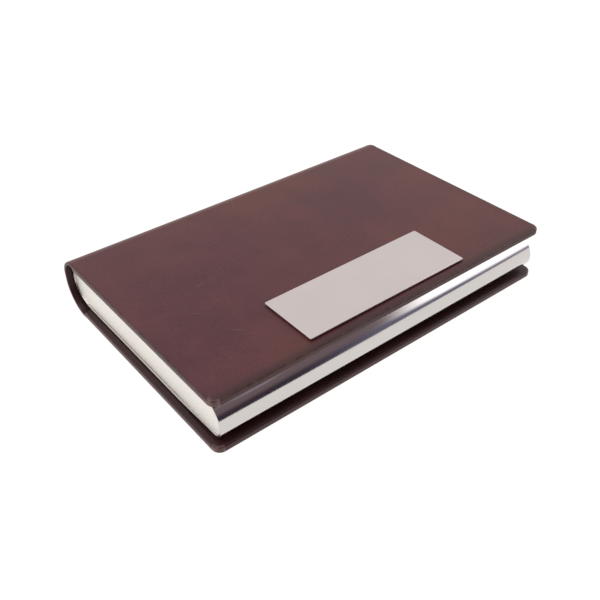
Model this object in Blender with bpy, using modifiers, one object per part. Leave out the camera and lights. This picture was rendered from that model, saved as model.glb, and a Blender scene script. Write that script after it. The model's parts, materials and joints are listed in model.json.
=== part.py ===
"""Business card case: a book-style cover of brown imitation leather, hinged by its own spine, around a steel tray.

Metres, +Z up. X runs along the case. The edge that opens is at -Y and the spine at +Y.
The origin is under the middle of the closed case, on the surface that it lies on.

The leather and its lining are cut flat, as in the workshop, and then wrapped round the case. A flat piece has
three coordinates: x along the case, s along the outside of the leather from the front edge of the bottom cover,
round the spine, to the front edge of the top cover, and d, the depth under the outside.
"""

from collections import namedtuple
from math import cos, pi, radians, sin

import bmesh
import bpy
from mathutils import Vector

# The closed case, over the leather.
CASE_LENGTH = 0.0950
CASE_WIDTH = 0.0635
CASE_HEIGHT = 0.0140
HALF_LENGTH = CASE_LENGTH / 2
FRONT_Y = -CASE_WIDTH / 2
BACK_Y = CASE_WIDTH / 2

# Clearance that is kept between two pieces that lie on each other.
GAP = 0.00005

# One cover: leather outside, a stiff board, and inside it the turned-in leather with the lining level between it.
LEATHER = 0.0005
BOARD = 0.0008
LINING = 0.0003
BOARD_DEPTH = LEATHER + GAP
LINING_DEPTH = BOARD_DEPTH + BOARD + GAP
COVER = LINING_DEPTH + LINING
TURN_IN = 0.0080
CORNER_RADIUS = 0.0020
COVER_EDGE_RADIUS = 0.0007

# The spine has no board: only leather and lining, bent wide at its foot and tighter at its head.
SPINE_LINING_DEPTH = LEATHER + GAP
SPINE = SPINE_LINING_DEPTH + LINING
SPINE_EDGE_RADIUS = 0.0003
FOOT_RADIUS = 0.0070
HEAD_RADIUS = 0.0052
BOARD_SETBACK = 0.00075
STEP_LENGTH = LINING + 2 * GAP

# Distances s along the outside of the leather.
FOOT_START = BACK_Y - FOOT_RADIUS
FOOT_END = FOOT_START + FOOT_RADIUS * pi / 2
HEAD_START = FOOT_END + CASE_HEIGHT - FOOT_RADIUS - HEAD_RADIUS
HEAD_END = HEAD_START + HEAD_RADIUS * pi / 2
BEND_STEPS = 12

# The spine bends along four lines, each in the middle of an eighth of a turn.
FOLD_ANGLE = radians(22.5)
FIRST_FOLD = FOOT_START + FOOT_RADIUS * FOLD_ANGLE
SECOND_FOLD = FOOT_END - FOOT_RADIUS * FOLD_ANGLE
THIRD_FOLD = HEAD_START + HEAD_RADIUS * FOLD_ANGLE
FOURTH_FOLD = HEAD_END - HEAD_RADIUS * FOLD_ANGLE

# A cover's own flat pieces run from its front edge to bend_y, and on round the start of its bend.
Cover = namedtuple("Cover", "name on_top bend_y radius")
BOTTOM = Cover("bottom", False, BACK_Y - FOOT_RADIUS, FOOT_RADIUS)
TOP = Cover("top", True, BACK_Y - HEAD_RADIUS, HEAD_RADIUS)

# The tray: one steel sheet. Its floor lies on the bottom cover, rises a little towards the front, and is rolled
# up and over along the front and along the back. Each roll is widest at its own height.
SHEET = 0.0004
TAPE = 0.00015
TRAY_HALF_LENGTH = HALF_LENGTH - 0.0015
TRAY_FRONT_Y = FRONT_Y + 0.0003
TRAY_BACK_Y = BACK_Y - 0.0011
TRAY_BOTTOM = COVER + GAP + TAPE + GAP
TRAY_TOP = CASE_HEIGHT - COVER - GAP
RISE_START_Y = FRONT_Y + 0.0180
RISE = 0.0006
FRONT_WIDEST_Z = 0.0056
FRONT_ROLL_DEPTH = 0.0080
FRONT_FOOT_DEPTH = 0.0030
BACK_WIDEST_Z = 0.0074
BACK_ROLL_DEPTH = 0.0050
BACK_FOOT_DEPTH = 0.0080
BACK_LIP_ANGLE = radians(60)
ROLL_STEP = radians(7.5)
TRAY_TAPE_MARGIN = 0.0065

# The end panels: a folded steel sheet each, blanked to the inside of the tray and set just in from its ends.
END_INSET = 0.00025
END_SEAM = 0.00025
END_FOOT = 0.0040
END_FOLD_RADIUS = 0.0006

# Magnets in the top board, over the front roll of the tray.
MAGNET_RADIUS = 0.0040
MAGNET_HEIGHT = 0.0007
MAGNET_SEGMENTS = 40
MAGNET_X = 0.0300
MAGNET_Y = FRONT_Y + 0.0066

# The steel nameplate, taped onto the top cover near its front edge.
PLATE_LENGTH = 0.0448
PLATE_WIDTH = 0.0155
PLATE_HEIGHT = 0.0004
PLATE_FRONT_Y = FRONT_Y + 0.0023
PLATE_CORNER_RADIUS = 0.0003
PLATE_TAPE = 0.0001
PLATE_TAPE_MARGIN = 0.0008

ROUND_SEGMENTS = 4
SHARP_ANGLE = radians(35)


def clear_scene():
    for obj in list(bpy.data.objects):
        bpy.data.objects.remove(obj, do_unlink=True)


def new_collection(name):
    collection = bpy.data.collections.new(name)
    bpy.context.scene.collection.children.link(collection)
    return collection


def new_material(name, colour, roughness, metallic=0.0):
    material = bpy.data.materials.new(name)
    material.use_nodes = True
    shader = material.node_tree.nodes["Principled BSDF"]
    shader.inputs["Base Color"].default_value = (*colour, 1.0)
    shader.inputs["Roughness"].default_value = roughness
    shader.inputs["Metallic"].default_value = metallic
    return material


def new_object(name, bm, collection, material=None):
    """Turns a bmesh into an object of the collection."""
    mesh = bpy.data.meshes.new(name)
    bm.to_mesh(mesh)
    bm.free()
    obj = bpy.data.objects.new(name, mesh)
    if material:
        mesh.materials.append(material)
    collection.objects.link(obj)
    return obj


def box_mesh(low, high):
    """A box between two corners."""
    low = Vector(low)
    high = Vector(high)
    bm = bmesh.new()
    bmesh.ops.create_cube(bm, size=1.0)
    bmesh.ops.scale(bm, vec=high - low, verts=bm.verts)
    bmesh.ops.translate(bm, vec=(low + high) / 2, verts=bm.verts)
    return bm


def bevel(bm, edges, width):
    bmesh.ops.bevel(
        bm, geom=edges, offset=width, segments=ROUND_SEGMENTS, profile=0.5, affect="EDGES", material=-1
    )


def round_corners(bm, radius, chosen):
    """Rounds the upright edges whose place chosen(x, y) picks."""
    upright = [e for e in bm.edges if abs(e.verts[0].co.z - e.verts[1].co.z) > GAP]
    bevel(bm, [e for e in upright if chosen(*e.verts[0].co.xy)], radius)


def round_rims(bm, radius, chosen):
    """Rounds the edges round the top and the bottom face of a plate where chosen(x, y) holds at both ends."""
    level = [e for e in bm.edges if abs(e.verts[0].co.z - e.verts[1].co.z) < GAP / 10]
    bevel(bm, [e for e in level if all(chosen(*v.co.xy) for v in e.verts)], radius)


def boolean(obj, other, operation):
    """Cuts the object with a helper, which stays out of the render."""
    other.hide_render = True
    other.display_type = "WIRE"
    modifier = obj.modifiers.new(operation.lower(), "BOOLEAN")
    modifier.operation = operation
    modifier.object = other


def take_away(obj, cutters, low, high, corner_radius=0.0):
    """Cuts a box out of the object, with its front corners rounded where a radius is given."""
    bm = box_mesh(low, high)
    if corner_radius:
        round_corners(bm, corner_radius, lambda x, y: y < 0)
    boolean(obj, new_object(obj.name + "_cutter", bm, cutters), "DIFFERENCE")


def apply_modifiers(obj):
    graph = bpy.context.evaluated_depsgraph_get()
    applied = bpy.data.meshes.new_from_object(obj.evaluated_get(graph))
    flat = obj.data
    obj.modifiers.clear()
    obj.data = applied
    bpy.data.meshes.remove(flat)


def smooth(obj):
    obj.data.shade_smooth()
    obj.data.set_sharp_from_angle(angle=SHARP_ANGLE)


def wrapped(x, s, d):
    """Where a point of the flat leather lies on the closed case."""
    if s <= FOOT_START:
        return Vector((x, s, d))
    if s <= FOOT_END:
        turn = (s - FOOT_START) / FOOT_RADIUS
        inner = FOOT_RADIUS - d
        return Vector((x, FOOT_START + inner * sin(turn), FOOT_RADIUS - inner * cos(turn)))
    if s <= HEAD_START:
        return Vector((x, BACK_Y - d, FOOT_RADIUS + s - FOOT_END))
    if s <= HEAD_END:
        turn = (s - HEAD_START) / HEAD_RADIUS
        inner = HEAD_RADIUS - d
        return Vector((x, TOP.bend_y + inner * cos(turn), CASE_HEIGHT - HEAD_RADIUS + inner * sin(turn)))
    return Vector((x, TOP.bend_y - (s - HEAD_END), CASE_HEIGHT - d))


def wrap(obj, turned_over=False):
    """Bends a flat piece round the case. A piece of the top cover is turned over first."""
    apply_modifiers(obj)
    bm = bmesh.new()
    bm.from_mesh(obj.data)
    if turned_over:
        for vert in bm.verts:
            vert.co.y = HEAD_END + TOP.bend_y - vert.co.y
        bmesh.ops.reverse_faces(bm, faces=bm.faces)
    bmesh.ops.triangulate(bm, faces=bm.faces)
    for start, end in ((FOOT_START, FOOT_END), (HEAD_START, HEAD_END)):
        for step in range(BEND_STEPS + 1):
            place = (0, start + (end - start) * step / BEND_STEPS, 0)
            geometry = bm.verts[:] + bm.edges[:] + bm.faces[:]
            bmesh.ops.bisect_plane(bm, geom=geometry, plane_co=place, plane_no=(0, 1, 0), dist=GAP / 100)
    for vert in bm.verts:
        vert.co = wrapped(*vert.co)
    bm.to_mesh(obj.data)
    bm.free()
    smooth(obj)


def cover_leather(cover, parts, cutters, material):
    """The leather of one cover: outside layer, rounded edges, and the turn-ins round the inside."""
    board_back = cover.bend_y - BOARD_SETBACK
    step_back = board_back + STEP_LENGTH
    end = cover.bend_y + cover.radius * FOLD_ANGLE - GAP
    bm = box_mesh((-HALF_LENGTH, FRONT_Y, 0), (HALF_LENGTH, end, COVER))
    round_corners(bm, CORNER_RADIUS, lambda x, y: y < 0)
    round_rims(bm, COVER_EDGE_RADIUS, lambda x, y: y < end - GAP or abs(x) > HALF_LENGTH - GAP)
    bmesh.ops.triangulate(bm, faces=bm.faces)
    obj = new_object(cover.name + "_leather", bm, parts, material)

    # Behind the board the leather and its turn-in lie straight on each other.
    take_away(obj, cutters, (-CASE_LENGTH, step_back, SPINE), (CASE_LENGTH, CASE_LENGTH, CASE_HEIGHT))
    # The pocket that the board fills.
    pocket_x = HALF_LENGTH - LEATHER
    low = (-pocket_x, FRONT_Y + LEATHER, LEATHER)
    take_away(obj, cutters, low, (pocket_x, board_back + GAP, LINING_DEPTH), CORNER_RADIUS - LEATHER)
    # The window between the turn-ins, over the board and on over the start of the spine.
    window_x = HALF_LENGTH - TURN_IN
    over_board = (-window_x, FRONT_Y + TURN_IN, LINING_DEPTH - GAP)
    over_spine = (-window_x, board_back - BOARD, LEATHER)
    for low in (over_board, over_spine):
        take_away(obj, cutters, low, (window_x, CASE_LENGTH, CASE_HEIGHT))
    wrap(obj, cover.on_top)


def cover_board(cover, parts, material):
    """The stiff board inside one cover."""
    half = HALF_LENGTH - LEATHER - GAP
    low = (-half, FRONT_Y + LEATHER + GAP, BOARD_DEPTH)
    bm = box_mesh(low, (half, cover.bend_y - BOARD_SETBACK, BOARD_DEPTH + BOARD))
    round_corners(bm, CORNER_RADIUS - LEATHER - GAP, lambda x, y: y < 0)
    obj = new_object(cover.name + "_board", bm, parts, material)
    wrap(obj, cover.on_top)
    return obj


def cover_lining(cover, parts, cutters, material):
    """The lining of one cover, which steps down behind the board onto the leather of the spine."""
    board_back = cover.bend_y - BOARD_SETBACK
    half = HALF_LENGTH - TURN_IN - GAP
    low = (-half, FRONT_Y + TURN_IN + GAP, SPINE_LINING_DEPTH)
    high = (half, cover.bend_y + cover.radius * FOLD_ANGLE - GAP, COVER)
    obj = new_object(cover.name + "_lining", box_mesh(low, high), parts, material)
    under_low = (-CASE_LENGTH, FRONT_Y, -COVER)
    take_away(obj, cutters, under_low, (CASE_LENGTH, board_back + GAP, LINING_DEPTH))
    over_low = (-CASE_LENGTH, board_back + STEP_LENGTH, SPINE)
    take_away(obj, cutters, over_low, (CASE_LENGTH, CASE_LENGTH, CASE_HEIGHT))
    wrap(obj, cover.on_top)


def spine_strip(place, start, end, parts, cutters, leather, lining):
    """The leather and the lining of the spine between two of its bending lines."""
    low = start + GAP
    high = end - GAP
    bm = box_mesh((-HALF_LENGTH, low, 0), (HALF_LENGTH, high, SPINE))
    at_ends = [e for e in bm.edges if all(abs(v.co.x) > HALF_LENGTH - GAP for v in e.verts)]
    bevel(bm, [e for e in at_ends if abs(e.verts[0].co.y - e.verts[1].co.y) > GAP], SPINE_EDGE_RADIUS)
    strip = new_object("spine_leather_" + place, bm, parts, leather)
    window_x = HALF_LENGTH - TURN_IN
    take_away(strip, cutters, (-window_x, low - LEATHER, LEATHER), (window_x, high + LEATHER, CASE_HEIGHT))
    wrap(strip)

    half = window_x - GAP
    bm = box_mesh((-half, low, SPINE_LINING_DEPTH), (half, high, SPINE))
    wrap(new_object("spine_lining_" + place, bm, parts, lining))


def arc(centre_y, centre_z, radius_y, radius_z, start, end):
    """Points (y, z) along a stretch of an ellipse. Angles run from +Y towards +Z."""
    steps = max(1, round(abs(end - start) / ROLL_STEP))
    angles = [start + (end - start) * i / steps for i in range(steps + 1)]
    return [(centre_y + radius_y * cos(a), centre_z + radius_z * sin(a)) for a in angles]


def tray_outline(inset, back_lip_angle):
    """The tray's section, this far inside its outer face: over the front, along the floor and up the back."""
    front_top = FRONT_ROLL_DEPTH - inset
    front_foot = FRONT_FOOT_DEPTH - inset
    back_top = BACK_ROLL_DEPTH - inset
    back_foot = BACK_FOOT_DEPTH - inset
    top = TRAY_TOP - inset
    floor = TRAY_BOTTOM + inset
    front_y = TRAY_FRONT_Y + FRONT_ROLL_DEPTH
    foot_y = TRAY_FRONT_Y + FRONT_FOOT_DEPTH
    back_top_y = TRAY_BACK_Y - BACK_ROLL_DEPTH
    back_foot_y = TRAY_BACK_Y - BACK_FOOT_DEPTH
    roll = arc(front_y, FRONT_WIDEST_Z, front_top, top - FRONT_WIDEST_Z, pi / 2, pi)
    foot = arc(foot_y, FRONT_WIDEST_Z, front_foot, FRONT_WIDEST_Z - floor - RISE, pi, pi * 3 / 2)
    back = arc(back_foot_y, BACK_WIDEST_Z, back_foot, BACK_WIDEST_Z - floor, -pi / 2, 0)
    lip = arc(back_top_y, BACK_WIDEST_Z, back_top, top - BACK_WIDEST_Z, 0, back_lip_angle)
    return roll + foot[1:] + [(RISE_START_Y, floor)] + back + lip[1:]


def folded_sheet(name, path, direction, length, parts, material):
    """A sheet bent along a path and this long, thickened towards the cross product of direction and path."""
    bm = bmesh.new()
    verts = [bm.verts.new(point) for point in path]
    edges = [bm.edges.new(pair) for pair in zip(verts, verts[1:])]
    made = bmesh.ops.extrude_edge_only(bm, edges=edges)["geom"]
    moved = [v for v in made if isinstance(v, bmesh.types.BMVert)]
    bmesh.ops.translate(bm, vec=Vector(direction) * length, verts=moved)
    obj = new_object(name, bm, parts, material)
    thickness = obj.modifiers.new("sheet", "SOLIDIFY")
    thickness.thickness = SHEET
    thickness.offset = 1.0
    thickness.use_even_offset = True
    return obj


def tray_shell(parts, material):
    path = [(-TRAY_HALF_LENGTH, y, z) for y, z in tray_outline(0, BACK_LIP_ANGLE)]
    obj = folded_sheet("tray_shell", path, (1, 0, 0), 2 * TRAY_HALF_LENGTH, parts, material)
    apply_modifiers(obj)
    smooth(obj)


def end_blank(cutters):
    """The outline that both end panels are blanked to: the inside of the tray, less the seam round them."""
    outline = tray_outline(SHEET + END_SEAM, pi / 2)
    bm = bmesh.new()
    face = bm.faces.new([bm.verts.new((-HALF_LENGTH, y, z)) for y, z in outline])
    made = bmesh.ops.extrude_face_region(bm, geom=[face])["geom"]
    moved = [v for v in made if isinstance(v, bmesh.types.BMVert)]
    bmesh.ops.translate(bm, vec=(CASE_LENGTH, 0, 0), verts=moved)
    bmesh.ops.recalc_face_normals(bm, faces=bm.faces)
    return new_object("end_blank", bm, cutters)


def end_panel(name, side, blank, parts, material):
    """One end of the tray: an upright panel with a foot folded in over the floor. Side is -1 or 1."""
    face_x = TRAY_HALF_LENGTH - END_INSET
    foot_z = TRAY_BOTTOM + SHEET + 2 * END_SEAM
    fold = arc(face_x - END_FOLD_RADIUS, foot_z + END_FOLD_RADIUS, END_FOLD_RADIUS, END_FOLD_RADIUS, 0, -pi / 2)
    path = [(side * x, FRONT_Y, z) for x, z in [(face_x, CASE_HEIGHT), *fold, (face_x - END_FOOT, foot_z)]]
    if side < 0:
        path.reverse()
    obj = folded_sheet(name, path, (0, 1, 0), CASE_WIDTH, parts, material)
    boolean(obj, blank, "INTERSECT")
    apply_modifiers(obj)
    smooth(obj)


def plain_box(name, low, high, parts, material):
    return new_object(name, box_mesh(low, high), parts, material)


def tray_tape(parts, material):
    """The double-sided tape that holds the tray on the lining of the bottom cover."""
    half = TRAY_HALF_LENGTH - TRAY_TAPE_MARGIN
    low = (-half, RISE_START_Y, COVER + GAP)
    high = (half, BOTTOM.bend_y - TRAY_TAPE_MARGIN, COVER + GAP + TAPE)
    plain_box("tray_tape", low, high, parts, material)


def disc(name, x, radius, low_z, high_z, collection, material=None):
    """A flat cylinder over the front roll of the tray."""
    bm = bmesh.new()
    bmesh.ops.create_cone(
        bm, cap_ends=True, segments=MAGNET_SEGMENTS, radius1=radius, radius2=radius, depth=high_z - low_z
    )
    bmesh.ops.translate(bm, vec=(x, MAGNET_Y, (low_z + high_z) / 2), verts=bm.verts)
    return new_object(name, bm, collection, material)


def magnets(board, parts, cutters, material):
    """Two magnets, each in a round hole through the top board."""
    board_low = CASE_HEIGHT - BOARD_DEPTH - BOARD
    magnet_low = board_low + (BOARD - MAGNET_HEIGHT) / 2
    for name, x in (("left_magnet", -MAGNET_X), ("right_magnet", MAGNET_X)):
        hole = disc(name + "_hole", x, MAGNET_RADIUS + GAP, board_low - BOARD, CASE_HEIGHT, cutters)
        boolean(board, hole, "DIFFERENCE")
        smooth(disc(name, x, MAGNET_RADIUS, magnet_low, magnet_low + MAGNET_HEIGHT, parts, material))
    apply_modifiers(board)


def nameplate(parts, steel, tape):
    """The nameplate and the tape under it."""
    half = PLATE_LENGTH / 2
    back = PLATE_FRONT_Y + PLATE_WIDTH
    tape_low = CASE_HEIGHT + GAP
    plate_low = tape_low + PLATE_TAPE + GAP
    bm = box_mesh((-half, PLATE_FRONT_Y, plate_low), (half, back, plate_low + PLATE_HEIGHT))
    round_corners(bm, PLATE_CORNER_RADIUS, lambda x, y: True)
    smooth(new_object("nameplate", bm, parts, steel))
    inner = half - PLATE_TAPE_MARGIN
    low = (-inner, PLATE_FRONT_Y + PLATE_TAPE_MARGIN, tape_low)
    high = (inner, back - PLATE_TAPE_MARGIN, tape_low + PLATE_TAPE)
    plain_box("nameplate_tape", low, high, parts, tape)


def main():
    clear_scene()
    parts = new_collection("business_card_case")
    cutters = new_collection("cutters")
    leather = new_material("brown_leather", (0.125, 0.055, 0.050), 0.42)
    lining = new_material("brown_lining", (0.060, 0.028, 0.026), 0.75)
    board = new_material("grey_board", (0.35, 0.33, 0.30), 0.90)
    polished = new_material("polished_steel", (0.80, 0.79, 0.78), 0.08, 1.0)
    satin = new_material("satin_steel", (0.72, 0.70, 0.69), 0.32, 1.0)
    nickel = new_material("nickel_plate", (0.66, 0.64, 0.60), 0.20, 1.0)
    tape = new_material("tape", (0.75, 0.74, 0.70), 0.60)

    cover_leather(BOTTOM, parts, cutters, leather)
    cover_board(BOTTOM, parts, board)
    cover_lining(BOTTOM, parts, cutters, lining)
    tray_tape(parts, tape)
    tray_shell(parts, polished)
    blank = end_blank(cutters)
    end_panel("left_end_panel", -1, blank, parts, satin)
    end_panel("right_end_panel", 1, blank, parts, satin)

    folds = (FIRST_FOLD, SECOND_FOLD, THIRD_FOLD, FOURTH_FOLD)
    for place, start, end in zip(("lower", "middle", "upper"), folds, folds[1:]):
        spine_strip(place, start, end, parts, cutters, leather, lining)

    cover_leather(TOP, parts, cutters, leather)
    top_board = cover_board(TOP, parts, board)
    cover_lining(TOP, parts, cutters, lining)
    magnets(top_board, parts, cutters, nickel)
    nameplate(parts, satin, tape)


main()
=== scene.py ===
"""The looks of a business card case: imitation leather over boards, round a folded steel tray."""

import json
from math import cos, pi, radians, sin

import bmesh
import bpy
from mathutils import Matrix, Vector, noise


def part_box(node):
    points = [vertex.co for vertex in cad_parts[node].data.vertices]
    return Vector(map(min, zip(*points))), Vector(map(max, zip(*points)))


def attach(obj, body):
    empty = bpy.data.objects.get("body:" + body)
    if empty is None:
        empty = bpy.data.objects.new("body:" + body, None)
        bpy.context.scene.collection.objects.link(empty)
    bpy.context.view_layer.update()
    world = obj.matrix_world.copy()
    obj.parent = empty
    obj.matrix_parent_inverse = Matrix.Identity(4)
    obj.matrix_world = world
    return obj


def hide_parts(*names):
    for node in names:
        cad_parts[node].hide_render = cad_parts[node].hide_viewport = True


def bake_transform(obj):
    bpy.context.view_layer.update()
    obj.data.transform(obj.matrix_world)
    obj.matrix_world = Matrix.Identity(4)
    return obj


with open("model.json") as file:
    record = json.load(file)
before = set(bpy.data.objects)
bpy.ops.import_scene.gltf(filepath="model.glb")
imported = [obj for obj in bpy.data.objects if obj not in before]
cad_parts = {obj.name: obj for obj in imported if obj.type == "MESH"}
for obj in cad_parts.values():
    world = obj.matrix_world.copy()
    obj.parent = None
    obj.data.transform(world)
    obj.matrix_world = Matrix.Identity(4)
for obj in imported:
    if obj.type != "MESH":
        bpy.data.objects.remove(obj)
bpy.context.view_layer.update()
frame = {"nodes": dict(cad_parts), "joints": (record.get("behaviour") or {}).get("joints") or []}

MM = 0.001

# ---------------------------------------------------------------- sizes, from the frame

BOTTOM_LOW, BOTTOM_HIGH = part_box("bottom_leather")
TOP_LOW, TOP_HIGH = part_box("top_leather")
HALF_LENGTH = BOTTOM_HIGH.x
FRONT_Y = BOTTOM_LOW.y
BACK_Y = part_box("spine_leather_middle")[1].y
CASE_HEIGHT = TOP_HIGH.z
COVER = BOTTOM_HIGH.z
LINING = 0.3 * MM
LINING_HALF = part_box("bottom_lining")[1].x
LINING_FRONT_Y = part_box("bottom_lining")[0].y
GAP = 0.05 * MM
WINDOW_X = LINING_HALF + GAP
WINDOW_FRONT_Y = LINING_FRONT_Y - GAP

# The spine has two curves, and bends along two lines on each, this far round from the curve's ends.
FOLD_ANGLE = radians(22.5)
FOLDS = [Vector(joint["pos_m"]) for joint in frame["joints"]]
FOOT_RADIUS = FOLDS[0].z / (1 - cos(FOLD_ANGLE))
HEAD_RADIUS = (CASE_HEIGHT - FOLDS[3].z) / (1 - cos(FOLD_ANGLE))
FOOT_START = BACK_Y - FOOT_RADIUS
FOOT_END = FOOT_START + FOOT_RADIUS * pi / 2
HEAD_START = FOOT_END + CASE_HEIGHT - FOOT_RADIUS - HEAD_RADIUS
HEAD_END = HEAD_START + HEAD_RADIUS * pi / 2
HEAD_Y = BACK_Y - HEAD_RADIUS
END = HEAD_END + HEAD_Y - FRONT_Y
LEATHER = 0.5 * MM
SPINE = 0.85 * MM
BOARD_SETBACK = 0.75 * MM
BOARD_SLOPE = 0.5 * MM
RIM = 0.45 * MM
CORNER_RADIUS = 2 * MM
HEAD_BOARD_START = END - (HEAD_Y - BOARD_SETBACK - FRONT_Y)

# Where one length of leather ends and the next begins: the middle of each strip of the spine.
LOWER_MIDDLE = FOOT_START + FOOT_RADIUS * pi / 4
SPINE_MIDDLE = (FOOT_END - FOOT_RADIUS * FOLD_ANGLE + HEAD_START + HEAD_RADIUS * FOLD_ANGLE) / 2
UPPER_MIDDLE = HEAD_START + HEAD_RADIUS * pi / 4


# ---------------------------------------------------------------- mesh helpers


def piece(name, bm, material):
    """Makes an object of a mesh that is already in its place."""
    mesh = bpy.data.meshes.new(name)
    bm.to_mesh(mesh)
    bm.free()
    mesh.materials.append(material)
    obj = bpy.data.objects.new(name, mesh)
    bpy.context.scene.collection.objects.link(obj)
    return obj


def finish_mesh(obj, sharp=40):
    """Applies the modifiers and leaves only edges over this angle sharp."""
    graph = bpy.context.evaluated_depsgraph_get()
    mesh = bpy.data.meshes.new_from_object(obj.evaluated_get(graph))
    obj.modifiers.clear()
    obj.data = mesh
    mesh.shade_smooth()
    mesh.set_sharp_from_angle(angle=radians(sharp))


def box_mesh(low, high):
    """A box between two opposite corners."""
    low = Vector(low)
    high = Vector(high)
    bm = bmesh.new()
    bmesh.ops.create_cube(bm, size=1.0)
    bmesh.ops.scale(bm, vec=high - low, verts=bm.verts)
    bmesh.ops.translate(bm, vec=(low + high) / 2, verts=bm.verts)
    return bm


def bevel(bm, edges, width, segments):
    """Rounds edges to this width."""
    bmesh.ops.bevel(
        bm, geom=edges, offset=width, segments=segments, profile=0.5, affect="EDGES", material=-1
    )


def cut(bm, axis, places):
    """Cuts the whole mesh across an axis at these places."""
    normal = Vector((0, 0, 0))
    normal[axis] = 1
    for place in places:
        bmesh.ops.bisect_plane(
            bm, geom=bm.verts[:] + bm.edges[:] + bm.faces[:],
            plane_co=normal * place, plane_no=normal, dist=1e-7,
        )


def spread(start, end, step):
    """Places from start to end, both left out, at most a step apart."""
    count = max(1, round(abs(end - start) / step))
    return [start + (end - start) * i / count for i in range(1, count)]


def smoothstep(value):
    """Eases a value from 0 to 1."""
    value = min(max(value, 0.0), 1.0)
    return value * value * (3 - 2 * value)


# ---------------------------------------------------------------- the flat leather and how it wraps


def wrapped(x, s, d):
    """Where a point of the flat leather lies on the closed case: x along it, s round it and d deep."""
    if s <= FOOT_START:
        return Vector((x, s, d))
    if s <= FOOT_END:
        turn = (s - FOOT_START) / FOOT_RADIUS
        inner = FOOT_RADIUS - d
        return Vector((x, FOOT_START + inner * sin(turn), FOOT_RADIUS - inner * cos(turn)))
    if s <= HEAD_START:
        return Vector((x, BACK_Y - d, FOOT_RADIUS + s - FOOT_END))
    if s <= HEAD_END:
        turn = (s - HEAD_START) / HEAD_RADIUS
        inner = HEAD_RADIUS - d
        return Vector((x, HEAD_Y + inner * cos(turn), CASE_HEIGHT - HEAD_RADIUS + inner * sin(turn)))
    return Vector((x, HEAD_Y - (s - HEAD_END), CASE_HEIGHT - d))


def board_share(s):
    """1 where the leather covers a board, 0 on the bare spine, with a short slope between."""
    foot = smoothstep((FOOT_START - BOARD_SETBACK + BOARD_SLOPE - s) / BOARD_SLOPE)
    head = smoothstep((s - (HEAD_BOARD_START - BOARD_SLOPE)) / BOARD_SLOPE)
    return max(foot, head)


def thickness_at(s):
    """How thick the cover is, from outside to inside."""
    return SPINE + (COVER - SPINE) * board_share(s)


def dip(x, s):
    """How far the leather sinks below its highest, from the glue and the board under it."""
    wide = noise.noise(Vector((x, s, 0.3)) / (17 * MM))
    close = noise.noise(Vector((x, s, 7.1)) / (6 * MM))
    return (0.5 + 0.4 * wide + 0.15 * close) * 0.05 * MM


def bend_places(start, end):
    """Where a flat piece is cut so that it bends smoothly, and steps down behind each board."""
    places = [FOOT_START, FOOT_END, *spread(FOOT_START, FOOT_END, (FOOT_END - FOOT_START) / 60)]
    places += [HEAD_START, HEAD_END, *spread(HEAD_START, HEAD_END, (HEAD_END - HEAD_START) / 60)]
    places += [FOOT_START - BOARD_SETBACK + i * 0.1 * MM for i in range(6)]
    places += [HEAD_BOARD_START - i * 0.1 * MM for i in range(6)]
    return [s for s in places if start + 1e-6 < s < end - 1e-6]


def wrap_mesh(bm):
    """Folds a flat mesh round the case."""
    for vert in bm.verts:
        vert.co = wrapped(*vert.co)


# ---------------------------------------------------------------- materials


def linear(hex_colour):
    """An sRGB hex colour as linear RGBA."""
    values = [int(hex_colour[i : i + 2], 16) / 255 for i in (0, 2, 4)]
    lit = [v / 12.92 if v <= 0.04045 else ((v + 0.055) / 1.055) ** 2.4 for v in values]
    return (*lit, 1.0)


def new_material(name):
    """A material and its main shader."""
    material = bpy.data.materials.new(name)
    material.use_nodes = True
    return material, material.node_tree.nodes["Principled BSDF"]


def add(tree, kind, inputs=None, stops=(), **settings):
    """Adds a node to a material or a world. Inputs gives its sockets, by name or number, a source or
    a value. Stops are a colour ramp's two places and colours. Settings name properties or sockets."""
    node = tree.node_tree.nodes.new("ShaderNode" + kind)
    for key, value in settings.items():
        if key in node.bl_rna.properties:
            setattr(node, key, value)
        else:
            name = key.replace("_", " ")
            socket = next(s for s in node.inputs if s.name == name and s.enabled)
            socket.default_value = value
    for key, value in (inputs or {}).items():
        if isinstance(value, bpy.types.NodeSocket):
            tree.node_tree.links.new(value, node.inputs[key])
        else:
            node.inputs[key].default_value = value
    for (place, colour), element in zip(stops, node.color_ramp.elements if stops else ()):
        element.position = place
        element.color = colour
    return node


def link(tree, source, target):
    tree.node_tree.links.new(source, target)


# A Mix node's sockets by number: how much of the second colour, the two colours, and the result.
SHARE, FIRST, SECOND, MIXED = 0, 6, 7, 2


def object_coordinates(material):
    return add(material, "TexCoord").outputs["Object"]


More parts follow.
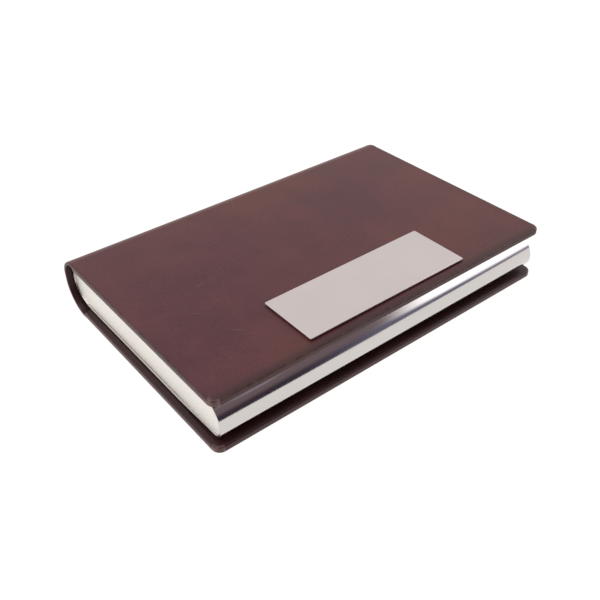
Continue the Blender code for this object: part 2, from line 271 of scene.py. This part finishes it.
def imitation_leather():
    """Polyurethane imitation leather, cast and embossed: a smooth pigmented skin under a thin glossy coat,
    with a fine grain. Its brown is uneven over a few millimetres. Its corners are scuffed paler, and a
    painted highlight runs along the crest of each rim. Painted shade darkens it inside, on and under the
    rims, and along the front edges."""
    material, shader = new_material("polyurethane_imitation_leather")
    place = object_coordinates(material)
    blotch = add(material, "TexNoise", {"Vector": place}, Scale=1 / (9 * MM), Detail=5.0, Roughness=0.6)
    broad = add(material, "TexNoise", {"Vector": place}, Scale=1 / (38 * MM), Detail=2.0, Roughness=0.5)
    specks = add(
        material, "TexNoise", {"Vector": place}, Scale=1 / (0.7 * MM), Detail=3.0, Roughness=0.7
    )
    base = add(
        material, "ValToRGB", {"Fac": blotch.outputs["Fac"]},
        stops=((0.3, linear("471d21")), (0.7, linear("612e31"))),
    )
    tint = add(
        material, "ValToRGB", {"Fac": broad.outputs["Fac"]},
        stops=((0.35, linear("491d2a")), (0.65, linear("5f2f27"))),
    )
    brown = add(
        material, "Mix", {SHARE: 0.45, FIRST: base.outputs["Color"], SECOND: tint.outputs["Color"]},
        data_type="RGBA",
    )
    # These two aren't colours but factors, to darken or lighten the brown by.
    fleck = add(
        material, "ValToRGB", {"Fac": specks.outputs["Fac"]},
        stops=((0.3, (0.82, 0.82, 0.82, 1)), (0.7, (1.18, 1.18, 1.18, 1))),
    )
    flecked = add(
        material, "Mix", {SHARE: 1.0, FIRST: brown.outputs[MIXED], SECOND: fleck.outputs["Color"]},
        data_type="RGBA", blend_type="MULTIPLY",
    )

    # Painted shade: the brown is mixed towards near-black 1d0c0d as far as the shaded attribute says,
    # inside, on and under the rims, and along the front edges.
    shaded = add(material, "Attribute", attribute_name="shaded")
    deep = add(
        material, "Mix",
        {SHARE: shaded.outputs["Fac"], FIRST: flecked.outputs[MIXED], SECOND: linear("1d0c0d")},
        data_type="RGBA",
    )
    # Paler colour 866a64, broken into patches: real scuffing at the corners, and a painted highlight along
    # the crest of each rim.
    wear_and_highlight = add(material, "Attribute", attribute_name="wear_and_highlight")
    patchy = add(
        material, "TexNoise", {"Vector": place}, Scale=1 / (1.3 * MM), Detail=3.0, Roughness=0.65
    )
    patches = add(material, "MapRange", {"Value": patchy.outputs["Fac"]}, From_Min=0.32, From_Max=0.62)
    wear_and_highlight_share = add(
        material, "Math", {0: wear_and_highlight.outputs["Fac"], 1: patches.outputs["Result"]}, operation="MULTIPLY"
    )
    worn_and_highlit = add(
        material, "Mix",
        {SHARE: wear_and_highlight_share.outputs["Value"], FIRST: deep.outputs[MIXED], SECOND: linear("866a64")},
        data_type="RGBA",
    )
    link(material, scratches(material, place, worn_and_highlit.outputs[MIXED]), shader.inputs["Base Color"])

    # A grain of 0.5 mm pebbles and 0.2 mm wrinkles, over slow waves from the glue beneath.
    grain = add(material, "TexVoronoi", {"Vector": place}, feature="SMOOTH_F1", Scale=1 / (0.5 * MM))
    fine = add(
        material, "TexNoise", {"Vector": place}, Scale=1 / (0.22 * MM), Detail=2.0, Roughness=0.5
    )
    relief = add(
        material, "Math", {0: grain.outputs["Distance"], 1: fine.outputs["Fac"]}, operation="ADD"
    )
    press = add(
        material, "Bump", {"Height": relief.outputs["Value"]}, Strength=0.30, Distance=0.02 * MM
    )
    pulled = add(
        material, "TexNoise", {"Vector": place}, Scale=1 / (12 * MM), Detail=2.0, Roughness=0.5
    )
    sag = add(
        material, "Bump", {"Height": pulled.outputs["Fac"], "Normal": press.outputs["Normal"]},
        Strength=0.6, Distance=0.14 * MM,
    )
    link(material, sag.outputs["Normal"], shader.inputs["Normal"])
    link(material, sag.outputs["Normal"], shader.inputs["Coat Normal"])
    sheen = add(material, "MapRange", {"Value": blotch.outputs["Fac"]}, To_Min=0.42, To_Max=0.56)
    link(material, sheen.outputs["Result"], shader.inputs["Roughness"])
    shader.inputs["Specular IOR Level"].default_value = 0.25
    shader.inputs["Coat Weight"].default_value = 0.20
    shader.inputs["Coat Roughness"].default_value = 0.24
    return material


def scratches(material, place, colour):
    """Three faint pale scratches near the left end of the top, each a few millimetres long."""
    marks = (
        # x and y of the middle and half the length in mm, with the turn in degrees between
        (-35.0, -7.2, -36.0, 2.2),
        (-31.7, -16.9, -50.0, 2.6),
        (-28.9, 0.9, -20.0, 1.6),
    )
    half_width = 0.10 * MM
    depth = 0.6 * MM
    strength = 0.32
    for x, y, turn, half_length in marks:
        move = add(
            material, "Mapping", {"Vector": place}, vector_type="TEXTURE",
            Location=(x * MM, y * MM, CASE_HEIGHT), Rotation=(0, 0, radians(turn)),
        )
        parts = add(material, "SeparateXYZ", {"Vector": move.outputs["Vector"]})
        share = strength
        for axis, reach in (("X", half_length * MM), ("Y", half_width), ("Z", depth)):
            far = add(material, "Math", {0: parts.outputs[axis]}, operation="ABSOLUTE")
            near = add(
                material, "MapRange", {"Value": far.outputs["Value"]}, interpolation_type="SMOOTHSTEP",
                From_Min=0.0, From_Max=reach, To_Min=1.0, To_Max=0.0,
            )
            faded = add(material, "Math", {0: near.outputs["Result"], 1: share}, operation="MULTIPLY")
            share = faded.outputs["Value"]
        marked = add(
            material, "Mix", {SHARE: share, FIRST: colour, SECOND: linear("96807a")}, data_type="RGBA"
        )
        colour = marked.outputs[MIXED]
    return colour


def microfibre():
    """Brown microfibre lining: short brushed fibres, so it is matt and a little cloudy."""
    material, shader = new_material("brushed_microfibre")
    place = object_coordinates(material)
    cloud = add(material, "TexNoise", {"Vector": place}, Scale=1 / (5 * MM), Detail=4.0, Roughness=0.6)
    colour = add(
        material, "ValToRGB", {"Fac": cloud.outputs["Fac"]},
        stops=((0.3, linear("39241f")), (0.7, linear("4a302a"))),
    )
    link(material, colour.outputs["Color"], shader.inputs["Base Color"])
    fibres = add(
        material, "TexNoise", {"Vector": place}, Scale=1 / (0.12 * MM), Detail=3.0, Roughness=0.6
    )
    nap = add(material, "Bump", {"Height": fibres.outputs["Fac"]}, Strength=0.5, Distance=0.03 * MM)
    link(material, nap.outputs["Normal"], shader.inputs["Normal"])
    shader.inputs["Roughness"].default_value = 0.85
    shader.inputs["Sheen Weight"].default_value = 0.25
    shader.inputs["Sheen Roughness"].default_value = 0.5
    return material


def steel(name, colour, rough_low, rough_high, streak_mm, ripple):
    """Stainless steel sheet, warm grey, with streaks along the case, as it was rolled and polished."""
    material, shader = new_material(name)
    place = object_coordinates(material)
    along = add(material, "Mapping", {"Vector": place}, Scale=(0.02, 1.0, 1.0))
    streaks = add(
        material, "TexNoise", {"Vector": along.outputs["Vector"]},
        Scale=1 / (streak_mm * MM), Detail=3.0, Roughness=0.6,
    )
    smudges = add(
        material, "TexNoise", {"Vector": place}, Scale=1 / (12 * MM), Detail=3.0, Roughness=0.6
    )
    both = add(
        material, "Math", {0: streaks.outputs["Fac"], 1: smudges.outputs["Fac"]}, operation="MULTIPLY"
    )
    rough = add(
        material, "MapRange", {"Value": both.outputs["Value"]},
        From_Min=0.12, From_Max=0.42, To_Min=rough_low, To_Max=rough_high,
    )
    link(material, rough.outputs["Result"], shader.inputs["Roughness"])
    waves = add(
        material, "TexNoise", {"Vector": along.outputs["Vector"]}, Scale=1 / (2.2 * MM), Detail=1.0
    )
    bump = add(
        material, "Bump", {"Height": waves.outputs["Fac"]}, Strength=ripple, Distance=0.02 * MM
    )
    link(material, bump.outputs["Normal"], shader.inputs["Normal"])
    clean = linear(colour)
    smudged = (clean[0] * 0.96, clean[1] * 0.96, clean[2] * 0.96, 1.0)
    tone = add(
        material, "ValToRGB", {"Fac": smudges.outputs["Fac"]}, stops=((0.3, clean), (0.7, smudged))
    )
    link(material, tone.outputs["Color"], shader.inputs["Base Color"])
    shader.inputs["Metallic"].default_value = 1.0
    return material


def nickel():
    """Nickel-plated magnet: bright, slightly yellow, with fine tumbling marks."""
    material, shader = new_material("tumbled_nickel_plate")
    marks = add(
        material, "TexNoise", {"Vector": object_coordinates(material)},
        Scale=1 / (0.3 * MM), Detail=4.0, Roughness=0.7,
    )
    rough = add(material, "MapRange", {"Value": marks.outputs["Fac"]}, To_Min=0.12, To_Max=0.35)
    link(material, rough.outputs["Result"], shader.inputs["Roughness"])
    shader.inputs["Base Color"].default_value = linear("cfc8ba")
    shader.inputs["Metallic"].default_value = 1.0
    return material


def greyboard():
    """Greyboard of recycled paper: matt, with short darker fibres."""
    material, shader = new_material("recycled_greyboard")
    place = object_coordinates(material)
    fibres = add(
        material, "TexNoise", {"Vector": place}, Scale=1 / (0.5 * MM), Detail=5.0, Roughness=0.7
    )
    colour = add(
        material, "ValToRGB", {"Fac": fibres.outputs["Fac"]},
        stops=((0.35, linear("8b867d")), (0.65, linear("a8a298"))),
    )
    link(material, colour.outputs["Color"], shader.inputs["Base Color"])
    bump = add(material, "Bump", {"Height": fibres.outputs["Fac"]}, Strength=0.4, Distance=0.03 * MM)
    link(material, bump.outputs["Normal"], shader.inputs["Normal"])
    shader.inputs["Roughness"].default_value = 0.95
    return material


def acrylic_tape():
    """Double-sided tissue tape: milky acrylic glue with a soft shine."""
    material, shader = new_material("acrylic_tissue_tape")
    place = object_coordinates(material)
    tissue = add(
        material, "TexNoise", {"Vector": place}, Scale=1 / (0.8 * MM), Detail=4.0, Roughness=0.6
    )
    colour = add(
        material, "ValToRGB", {"Fac": tissue.outputs["Fac"]},
        stops=((0.3, linear("cfcabd")), (0.7, linear("e4e0d5"))),
    )
    link(material, colour.outputs["Color"], shader.inputs["Base Color"])
    shader.inputs["Roughness"].default_value = 0.45
    return material


# ---------------------------------------------------------------- leather and lining


CUT_STEP = 4 * MM
LINING_STEP = 2 * MM
# Extra cuts this far inside the free edges, so that the rims are toned apart from the rest.
EDGE_ROWS = (1 * MM, 2.2 * MM)
WINDOW_S = (WINDOW_FRONT_Y, END - (WINDOW_FRONT_Y - FRONT_Y))


def leather_slab(start, end):
    """The leather's outside from s=start to s=end, as a flat closed slab with rounded free edges."""
    first = start <= FRONT_Y
    last = end >= END
    bm = box_mesh((-HALF_LENGTH, start, 0), (HALF_LENGTH, end, COVER))

    def free(y):
        return (first and y < start + 3 * MM) or (last and y > end - 3 * MM)

    corners = []
    for edge in bm.edges:
        a, b = (v.co for v in edge.verts)
        if abs(a.z - b.z) > COVER / 2 and free(a.y):
            corners.append(edge)
    if corners:
        bevel(bm, corners, CORNER_RADIUS, 10)
    rims = []
    for edge in bm.edges:
        a, b = (v.co for v in edge.verts)
        level = abs(a.z - b.z) < COVER / 10
        on_join = abs(a.y - b.y) < 1e-6 and not free(a.y)
        if level and not on_join:
            rims.append(edge)
    bevel(bm, rims, RIM, 7)
    return bm


def cut_leather(bm, start, end):
    """Cuts the slab where it bends, where boards and turn-ins end, near its rims and every few mm."""
    across = spread(-HALF_LENGTH, HALF_LENGTH, CUT_STEP)
    for inset in EDGE_ROWS:
        across += [inset - HALF_LENGTH, HALF_LENGTH - inset]
    cut(bm, 0, across + [-WINDOW_X, WINDOW_X])
    places = bend_places(start, end)
    for low, high in ((start, FOOT_START), (HEAD_END, end)):
        if high > low:
            places += spread(low, high, CUT_STEP)
    rows = [*WINDOW_S]
    for inset in EDGE_ROWS:
        rows += [FRONT_Y + inset, END - inset]
    places += [s for s in rows if start + 1e-6 < s < end - 1e-6]
    cut(bm, 1, sorted(set(places)))


def open_leather(bm, start, end):
    """Opens the window between the turn-ins, and the ends where the next length follows."""
    drop = []
    for face in bm.faces:
        centre = face.calc_center_median()
        between = abs(centre.x) < WINDOW_X and WINDOW_S[0] < centre.y < WINDOW_S[1]
        free_front = start <= FRONT_Y and centre.y < start + MM
        free_back = end >= END and centre.y > end - MM
        if face.normal.z > 0.9 and centre.z > COVER - 1e-6 and between:
            drop.append(face)
        elif abs(face.normal.y) > 0.99 and not free_front and not free_back:
            drop.append(face)
    bmesh.ops.delete(bm, geom=drop, context="FACES")


def shade_at(edge_x, edge_s, d):
    """How much painted shade the leather gets: darkest on the inner face and on and under the rims, where
    shade falls, and darker along the front edges, standing in for shade and a dark reflection there.
    """
    # Painted shade on the inner face: the turn-ins, and the ledge in front of the tray, which lies in
    # shade.
    if d > COVER * 0.9:
        return 0.72
    near = min(edge_x, edge_s)
    if near >= RIM - 1e-6:
        # Painted shade on the outside, in a band along the front edges of both covers, standing in for
        # their shade and dark reflection.
        wide = 0.22 * smoothstep(1 - (edge_s - RIM) / (6 * MM))
        return wide + 0.45 * smoothstep(1 - (edge_s - RIM) / (1.8 * MM))
    # Painted shade on the rims' sides: dark at the top, lighter across the middle, darkest underneath
    # where shade falls, and weaker at the left and right ends.
    side = 1 if edge_s < edge_x else 0.6
    under = smoothstep((d - COVER * 0.76) / (COVER * 0.1))
    return side * (0.66 - 0.36 * smoothstep((d - RIM) / (COVER * 0.5)) + 0.5 * under)


def rub_at(edge_x, edge_s, d):
    """How pale the leather is painted: a painted highlight along the crest of a rim, and real scuffing,
    the most, at the corners.
    """
    near = min(edge_x, edge_s)
    # Painted highlight: a thin pale line along each rim's crest, where the rounded edge catches the light.
    crest = smoothstep(1 - abs(near - 0.15 * MM) / (0.3 * MM)) if d < COVER / 2 else 0
    corner = smoothstep(1 - near / (1.2 * MM)) if max(edge_x, edge_s) < CORNER_RADIUS else 0
    return min(1.0, crest * 0.22 + corner * 0.9)


def tone_and_sink(bm):
    """Records where the leather is scuffed or carries a painted highlight, where it gets painted shade,
    and how thick it is, and sinks it where it has no board.
    """
    wear_and_highlight = bm.verts.layers.float.new("wear_and_highlight")
    shaded = bm.verts.layers.float.new("shaded")
    layer = bm.verts.layers.deform.new()
    for vert in bm.verts:
        x, s, d = vert.co
        edge_x = HALF_LENGTH - abs(x)
        edge_s = min(s - FRONT_Y, END - s)
        vert[wear_and_highlight] = rub_at(edge_x, edge_s, d)
        vert[shaded] = shade_at(edge_x, edge_s, d)
        # The leather keeps 0.9 of its thickness over a board, 0.6 where it is turned in, 0.8 elsewhere.
        board = board_share(s)
        vert[layer][0] = (0.6 if d > COVER * 0.75 else 0.9) * board + 0.8 * (1 - board)
        inward = smoothstep((min(edge_x, edge_s) - 0.2 * MM) / (1.5 * MM))
        outside = inward if d < COVER * 0.1 else 0
        vert.co.z = d * thickness_at(s) / COVER + outside * dip(x, s)


def leather(name, start, end, material):
    """One length of the leather skin, folded round the boards and turned in, at its real thickness."""
    bm = leather_slab(start, end)
    cut_leather(bm, start, end)
    open_leather(bm, start, end)
    tone_and_sink(bm)
    wrap_mesh(bm)
    obj = piece(name, bm, material)
    obj.vertex_groups.new(name="thickness")
    skin = obj.modifiers.new("leather", "SOLIDIFY")
    skin.thickness = LEATHER
    skin.offset = -1.0
    skin.vertex_group = "thickness"
    finish_mesh(obj)
    return obj


def lining(name, start, end, material):
    """One length of the lining, level with the turn-ins, stepping down behind each board."""
    low = max(start, LINING_FRONT_Y + GAP)
    high = min(end, END - (LINING_FRONT_Y + GAP - FRONT_Y))
    half = LINING_HALF - GAP
    bm = box_mesh((-half, low, 0), (half, high, LINING))
    sides = []
    for edge in bm.edges:
        a, b = (v.co for v in edge.verts)
        if min(a.z, b.z) > LINING / 2 and abs(a.y - b.y) > MM:
            sides.append(edge)
    bevel(bm, sides, 0.12 * MM, 3)
    cut(bm, 1, sorted({*bend_places(low, high), *spread(low, high, LINING_STEP)}))
    cut(bm, 0, spread(-half, half, 6 * MM))
    for vert in bm.verts:
        vert.co.z = thickness_at(vert.co.y) - LINING + vert.co.z
    wrap_mesh(bm)
    obj = piece(name, bm, material)
    finish_mesh(obj)
    return obj


def add_cover(leather_material, lining_material):
    """Four lengths of leather and of lining, each wrapped round the case across one of the spine's four
    fold lines.
    """
    places = ["bottom_cover", "spine_foot", "spine_head", "top_cover"]
    bounds = [FRONT_Y, LOWER_MIDDLE, SPINE_MIDDLE, UPPER_MIDDLE, END]
    stands_for = [
        ["bottom_{}"],
        ["spine_{}_lower"],
        ["spine_{}_middle", "spine_{}_upper"],
        ["top_{}"],
    ]
    makers = (("leather", leather, leather_material), ("lining", lining, lining_material))
    for i, place in enumerate(places):
        for kind, maker, material in makers:
            obj = maker(f"{place}_{kind}_skin", bounds[i], bounds[i + 1], material)
            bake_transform(obj)
            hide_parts(*[name.format(kind) for name in stands_for[i]])


# ---------------------------------------------------------------- the steel tray and nameplate

TRAY_LOW, TRAY_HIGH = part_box("tray_shell")
SHEET = 0.4 * MM
RISE = 0.6 * MM
RISE_START_Y = FRONT_Y + 18 * MM
FRONT_WIDEST_Z = 5.6 * MM
FRONT_ROLL_DEPTH = 8.0 * MM
FRONT_FOOT_DEPTH = 3.0 * MM
BACK_WIDEST_Z = 7.4 * MM
BACK_ROLL_DEPTH = 5.0 * MM
BACK_FOOT_DEPTH = 8.0 * MM
END_INSET = 0.25 * MM
END_SEAM = 0.10 * MM
END_FOOT = 4 * MM
END_FOOT_GAP = 0.16 * MM
END_FOLD_RADIUS = 0.5 * MM
BACK_LIP_ANGLE = radians(60)


def arc(centre_y, centre_z, radius_y, radius_z, start, end, step=radians(2.5)):
    """Points (y, z) along a stretch of an ellipse. Angles run from +Y towards +Z."""
    steps = max(1, round(abs(end - start) / step))
    angles = [start + (end - start) * i / steps for i in range(steps + 1)]
    return [(centre_y + radius_y * cos(a), centre_z + radius_z * sin(a)) for a in angles]


def tray_outline(inset, back_lip_angle):
    """The tray's section, this far inside its outer face: over the front, along the floor, up the back."""
    top = TRAY_HIGH.z - inset
    floor = TRAY_LOW.z + inset
    front = TRAY_LOW.y
    back = TRAY_HIGH.y
    roll = arc(
        front + FRONT_ROLL_DEPTH, FRONT_WIDEST_Z, FRONT_ROLL_DEPTH - inset,
        top - FRONT_WIDEST_Z, pi / 2, pi,
    )
    foot = arc(
        front + FRONT_FOOT_DEPTH, FRONT_WIDEST_Z, FRONT_FOOT_DEPTH - inset,
        FRONT_WIDEST_Z - floor - RISE, pi, pi * 3 / 2,
    )
    rise_y = front + FRONT_FOOT_DEPTH
    slope = []
    for i in range(1, 12):
        share = i / 12
        y = rise_y + (RISE_START_Y - rise_y) * share
        slope.append((y, floor + RISE * (1 - smoothstep(share))))
    rear = arc(
        back - BACK_FOOT_DEPTH, BACK_WIDEST_Z, BACK_FOOT_DEPTH - inset,
        BACK_WIDEST_Z - floor, -pi / 2, 0,
    )
    lip = arc(
        back - BACK_ROLL_DEPTH, BACK_WIDEST_Z, BACK_ROLL_DEPTH - inset,
        top - BACK_WIDEST_Z, 0, back_lip_angle,
    )
    return roll + foot[1:] + slope + [(RISE_START_Y, floor)] + rear + lip[1:]


def folded_sheet(name, path, direction, length, material):
    """A steel sheet bent along a path, with its cut edges eased."""
    bm = bmesh.new()
    verts = [bm.verts.new(point) for point in path]
    edges = [bm.edges.new(pair) for pair in zip(verts, verts[1:])]
    made = bmesh.ops.extrude_edge_only(bm, edges=edges)["geom"]
    moved = [v for v in made if isinstance(v, bmesh.types.BMVert)]
    bmesh.ops.translate(bm, vec=Vector(direction) * length, verts=moved)
    obj = piece(name, bm, material)
    thickness = obj.modifiers.new("sheet", "SOLIDIFY")
    thickness.thickness = SHEET
    thickness.offset = 1.0
    thickness.use_even_offset = True
    return obj


def ease_edges(obj, width):
    """Rounds a sheet's cut edges a little."""
    eased = obj.modifiers.new("eased", "BEVEL")
    eased.width = width
    eased.segments = 3
    eased.limit_method = "ANGLE"
    eased.angle_limit = radians(50)


def add_tray(polished, satin):
    """The tray's bent sheet, and its two ends, which are trimmed to the tray's inside."""
    half = TRAY_HIGH.x
    path = [(-half, y, z) for y, z in tray_outline(0, BACK_LIP_ANGLE)]
    tray = folded_sheet("folded_steel_tray", path, (1, 0, 0), 2 * half, polished)
    finish_mesh(tray, 30)
    ease_edges(tray, 0.07 * MM)
    finish_mesh(tray, 40)
    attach(tray, "base")
    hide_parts("tray_shell")

    bm = bmesh.new()
    outline = tray_outline(SHEET + END_SEAM, pi / 2)
    face = bm.faces.new([bm.verts.new((-HALF_LENGTH, y, z)) for y, z in outline])
    made = bmesh.ops.extrude_face_region(bm, geom=[face])["geom"]
    moved = [v for v in made if isinstance(v, bmesh.types.BMVert)]
    bmesh.ops.translate(bm, vec=(2 * HALF_LENGTH, 0, 0), verts=moved)
    bmesh.ops.recalc_face_normals(bm, faces=bm.faces)
    # The ends' material, passed in as satin, is the brightened steel whose near-white colour is painted
    # light standing in for the strong light on them.
    blank = piece("end_blank", bm, satin)
    for name, side in (("left", -1), ("right", 1)):
        panel = end_panel(name + "_steel_end", side, blank, satin)
        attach(panel, "base")
        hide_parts(name + "_end_panel")
    bpy.data.objects.remove(blank, do_unlink=True)


def end_panel(name, side, blank, material):
    """One end of the tray, folded in over the floor and blanked to the tray's inside."""
    radius = END_FOLD_RADIUS
    face_x = TRAY_HIGH.x - END_INSET
    foot_z = TRAY_LOW.z + SHEET + END_FOOT_GAP
    fold = arc(face_x - radius, foot_z + radius, radius, radius, 0, -pi / 2, radians(7.5))
    section = [(face_x, CASE_HEIGHT), *fold, (face_x - END_FOOT, foot_z)]
    path = [(side * x, FRONT_Y, z) for x, z in section]
    if side < 0:
        path.reverse()
    obj = folded_sheet(name, path, (0, 1, 0), BACK_Y - FRONT_Y, material)
    trim = obj.modifiers.new("trim", "BOOLEAN")
    trim.operation = "INTERSECT"
    trim.object = blank
    finish_mesh(obj, 30)
    ease_edges(obj, 0.06 * MM)
    finish_mesh(obj, 40)
    # The broad faces stay flat. Only the fold and the eased edges are shaded smooth.
    for face in obj.data.polygons:
        face.use_smooth = face.area < 20 * MM * MM
    return obj


def add_nameplate(material):
    """A plain plate, with its corners just rounded and its edges eased."""
    low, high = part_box("nameplate")
    bm = box_mesh(low, high)
    upright = [e for e in bm.edges if (e.verts[0].co - e.verts[1].co).xy.length < 1e-7]
    bevel(bm, upright, 0.35 * MM, 6)
    rims = [e for e in bm.edges if abs(e.verts[0].co.z - e.verts[1].co.z) < 1e-7]
    bevel(bm, rims, 0.07 * MM, 3)
    obj = piece("steel_nameplate", bm, material)
    finish_mesh(obj, 60)
    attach(obj, "lid")
    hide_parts("nameplate")


def paint(material, *nodes):
    """Gives a CAD node a finish."""
    for node in nodes:
        obj = frame["nodes"][node]
        obj.data.materials.clear()
        obj.data.materials.append(material)


# ---------------------------------------------------------------- stage, light and camera


def add_floor():
    """A white acrylic sheet lit from below, so that it throws hardly a shadow."""
    material, shader = new_material("backlit_white_acrylic")
    place = object_coordinates(material)
    cloud = add(material, "TexNoise", {"Vector": place}, Scale=1 / (60 * MM), Detail=2.0)
    colour = add(
        material, "ValToRGB", {"Fac": cloud.outputs["Fac"]},
        stops=((0.3, linear("4c4c4c")), (0.7, linear("505050"))),
    )
    link(material, colour.outputs["Color"], shader.inputs["Base Color"])
    shader.inputs["Roughness"].default_value = 0.8
    shader.inputs["Specular IOR Level"].default_value = 0.0
    shader.inputs["Emission Color"].default_value = linear("fffefd")
    shader.inputs["Emission Strength"].default_value = 0.98
    bm = bmesh.new()
    bmesh.ops.create_grid(bm, x_segments=8, y_segments=8, size=3.0)
    mesh = bpy.data.meshes.new("acrylic_floor")
    bm.to_mesh(mesh)
    bm.free()
    mesh.materials.append(material)
    floor = bpy.data.objects.new("acrylic_floor", mesh)
    bpy.context.scene.collection.objects.link(floor)


def add_world():
    """A white wall behind the case and, in front, a dark room with one large window to the right."""
    world = bpy.data.worlds.new("studio_room")
    bpy.context.scene.world = world
    world.use_nodes = True
    direction = add(world, "TexCoord").outputs["Generated"]
    split = add(world, "SeparateXYZ", {"Vector": direction})
    x, y, z = (split.outputs[axis] for axis in "XYZ")
    window_sill = add(world, "Math", {0: x, 1: 0.5, 2: z}, operation="MULTIPLY_ADD").outputs["Value"]
    aim = Vector((0.205, -0.72, 0.66)).normalized()
    to_lamp = add(world, "VectorMath", {0: direction, 1: aim}, operation="DOT_PRODUCT").outputs["Value"]

    # Each part of the room: what it depends on, where it starts and is full, and its radiance.
    room = (
        (((x, 0.30, 0.62),), (0.19, 0.18, 0.27, 1)),  # the horizon to the right
        (((z, 0.20, 0.50),), (0.20, 0.148, 0.165, 1)),  # the dim wall above it
        (((z, 0.62, 0.95),), (0.62, 0.61, 0.60, 1)),  # the ceiling
        (((x, 0.54, 0.68), (window_sill, 0.46, 0.64)), (2.0, 2.0, 2.05, 1)),  # the window
        (((to_lamp, 0.9965, 0.9999),), (0.36, 0.31, 0.38, 1)),  # a small dim lamp
        (((y, -0.10, 0.30),), (0.95, 0.925, 0.91, 1)),  # the white wall behind
    )
    colour = (0.05, 0.036, 0.055, 1)
    for limits, radiance in room:
        share = 1.0
        for value, low, high in limits:
            part = add(
                world, "MapRange", {"Value": value}, interpolation_type="SMOOTHSTEP",
                From_Min=low, From_Max=high,
            )
            both = add(world, "Math", {0: share, 1: part.outputs["Result"]}, operation="MULTIPLY")
            share = both.outputs["Value"]
        mixed = add(world, "Mix", {SHARE: share, FIRST: colour, SECOND: radiance}, data_type="RGBA")
        colour = mixed.outputs[MIXED]
    # The room only lights and reflects. Seen directly, all is white.
    seen = add(world, "LightPath").outputs["Is Camera Ray"]
    final = add(world, "Mix", {SHARE: seen, FIRST: colour, SECOND: (1, 1, 1, 1)}, data_type="RGBA")
    link(world, final.outputs[MIXED], world.node_tree.nodes["Background"].inputs["Color"])


def add_softbox(name, azimuth, elevation, distance, side, radiance):
    """A square softbox that faces the case. Azimuth is from -Y towards +X, in degrees."""
    light = bpy.data.lights.new(name, "AREA")
    light.shape = "SQUARE"
    light.size = side
    light.energy = radiance * pi * side * side
    obj = bpy.data.objects.new(name, light)
    bpy.context.scene.collection.objects.link(obj)
    a = radians(azimuth)
    e = radians(elevation)
    obj.location = Vector((sin(a) * cos(e), -cos(a) * cos(e), sin(e))) * distance
    obj.rotation_euler = obj.location.to_track_quat("Z", "Y").to_euler()


def add_camera():
    """Close above the left front corner."""
    azimuth = radians(-38.17)
    elevation = radians(37.04)
    roll = radians(-0.93)
    distance = 187.7 * MM
    left_by = 1.29 * MM
    down_by = 8.44 * MM
    target = Vector((0, 0, CASE_HEIGHT / 2))
    level = cos(elevation)
    back = Vector((sin(azimuth) * level, -cos(azimuth) * level, sin(elevation)))
    right = Vector((0, 0, 1)).cross(back).normalized()
    up = back.cross(right)
    side = right * cos(roll) + up * sin(roll)
    above = up * cos(roll) - right * sin(roll)
    place = target - side * left_by - above * down_by + back * distance
    camera = bpy.data.cameras.new("camera")
    camera.lens = 46.46
    camera.sensor_width = 36
    camera.clip_start = 0.005
    obj = bpy.data.objects.new("camera", camera)
    bpy.context.scene.collection.objects.link(obj)
    turn = Matrix((side, above, back)).transposed().to_4x4()
    obj.matrix_world = Matrix.Translation(place) @ turn
    bpy.context.scene.camera = obj


def main():
    leather_material = imitation_leather()
    lining_material = microfibre()
    polished = steel("polished_stainless_steel", "cfcac7", 0.09, 0.15, 0.5, 0.05)
    satin = steel("satin_stainless_steel", "d1c8c7", 0.26, 0.34, 0.25, 0.01)
    # The ends' steel gets a near-white colour, far brighter than the tray's: painted light, standing in
    # for strong light falling on the ends. Its matt finish is real.
    end_steel_painted_bright = steel("blasted_steel_painted_bright", "f6f2ec", 0.50, 0.58, 0.25, 0.01)
    add_cover(leather_material, lining_material)
    add_tray(polished, end_steel_painted_bright)
    add_nameplate(satin)
    paint(greyboard(), "bottom_board", "top_board")
    paint(nickel(), "left_magnet", "right_magnet")
    paint(acrylic_tape(), "tray_tape", "nameplate_tape")
    add_floor()
    add_world()
    add_softbox("key_softbox", -110, 64, 0.70, 0.34, 4.0)
    add_camera()
    bpy.context.scene.view_settings.view_transform = "Standard"


main()
bpy.context.view_layer.update()
